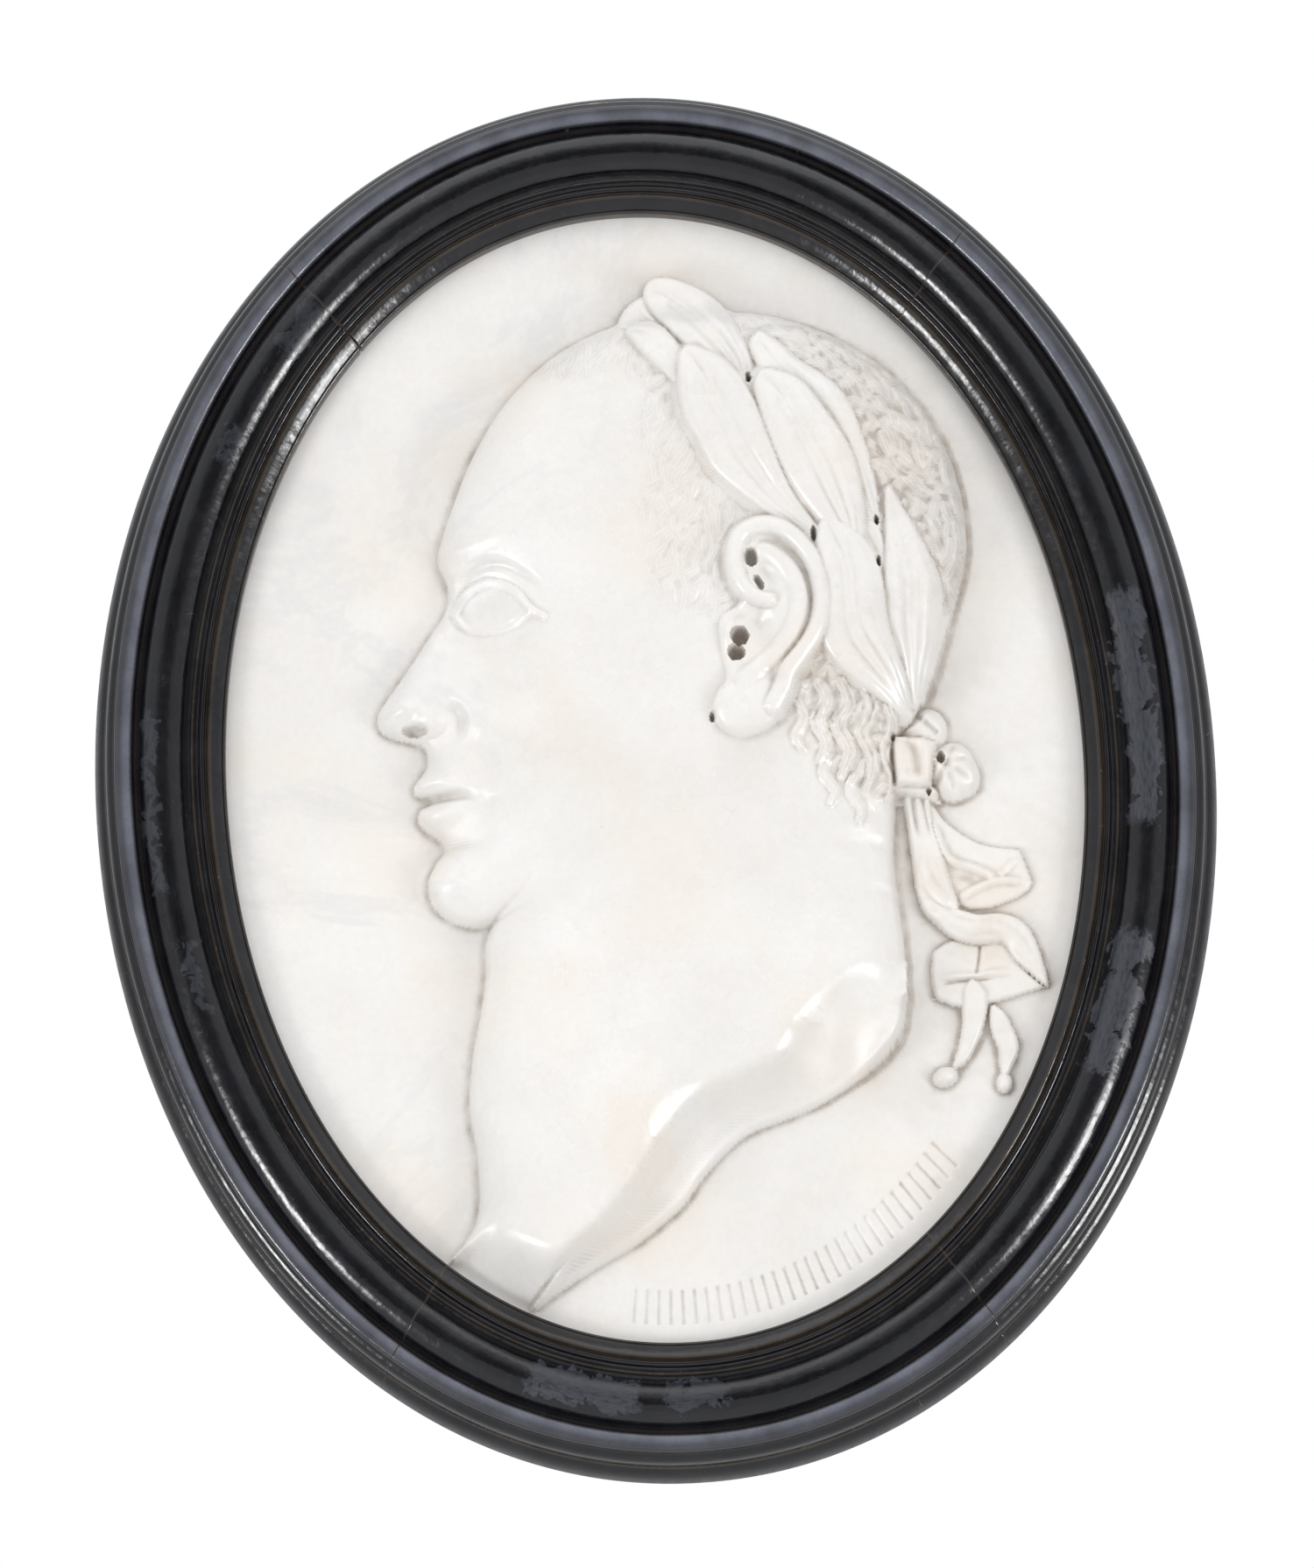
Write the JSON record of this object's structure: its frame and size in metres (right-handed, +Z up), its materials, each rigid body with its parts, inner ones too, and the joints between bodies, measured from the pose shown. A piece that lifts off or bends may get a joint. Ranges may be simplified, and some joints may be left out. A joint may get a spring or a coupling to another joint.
{
  "type": "oval portrait relief plaque",
  "caption": "Oval marble wall plaque with a laurelled head in profile carved in high relief, in a moulded ebonised wood frame.",
  "frame": {"origin": "on the flat back of the frame at the top of the oval, where the plaque is fixed to the wall", "axes": "+Z up along the oval's long axis, -Y out of the wall towards the viewer, +X to the viewer's right"},
  "size_m": [0.4474, 0.056, 0.5676],
  "materials": {
    "marble": "polished white marble with grey-brown dirt in the carving",
    "ebonised_wood": "black polish over wood, worn on the arrises and patched with matt slate-grey paint"
  },
  "bodies": {
    "root": {"marble_relief": "marble", "frame_segment_top": "ebonised_wood", "frame_segment_right": "ebonised_wood", "frame_segment_bottom": "ebonised_wood", "frame_segment_left": "ebonised_wood"}
  },
  "joints": []
}
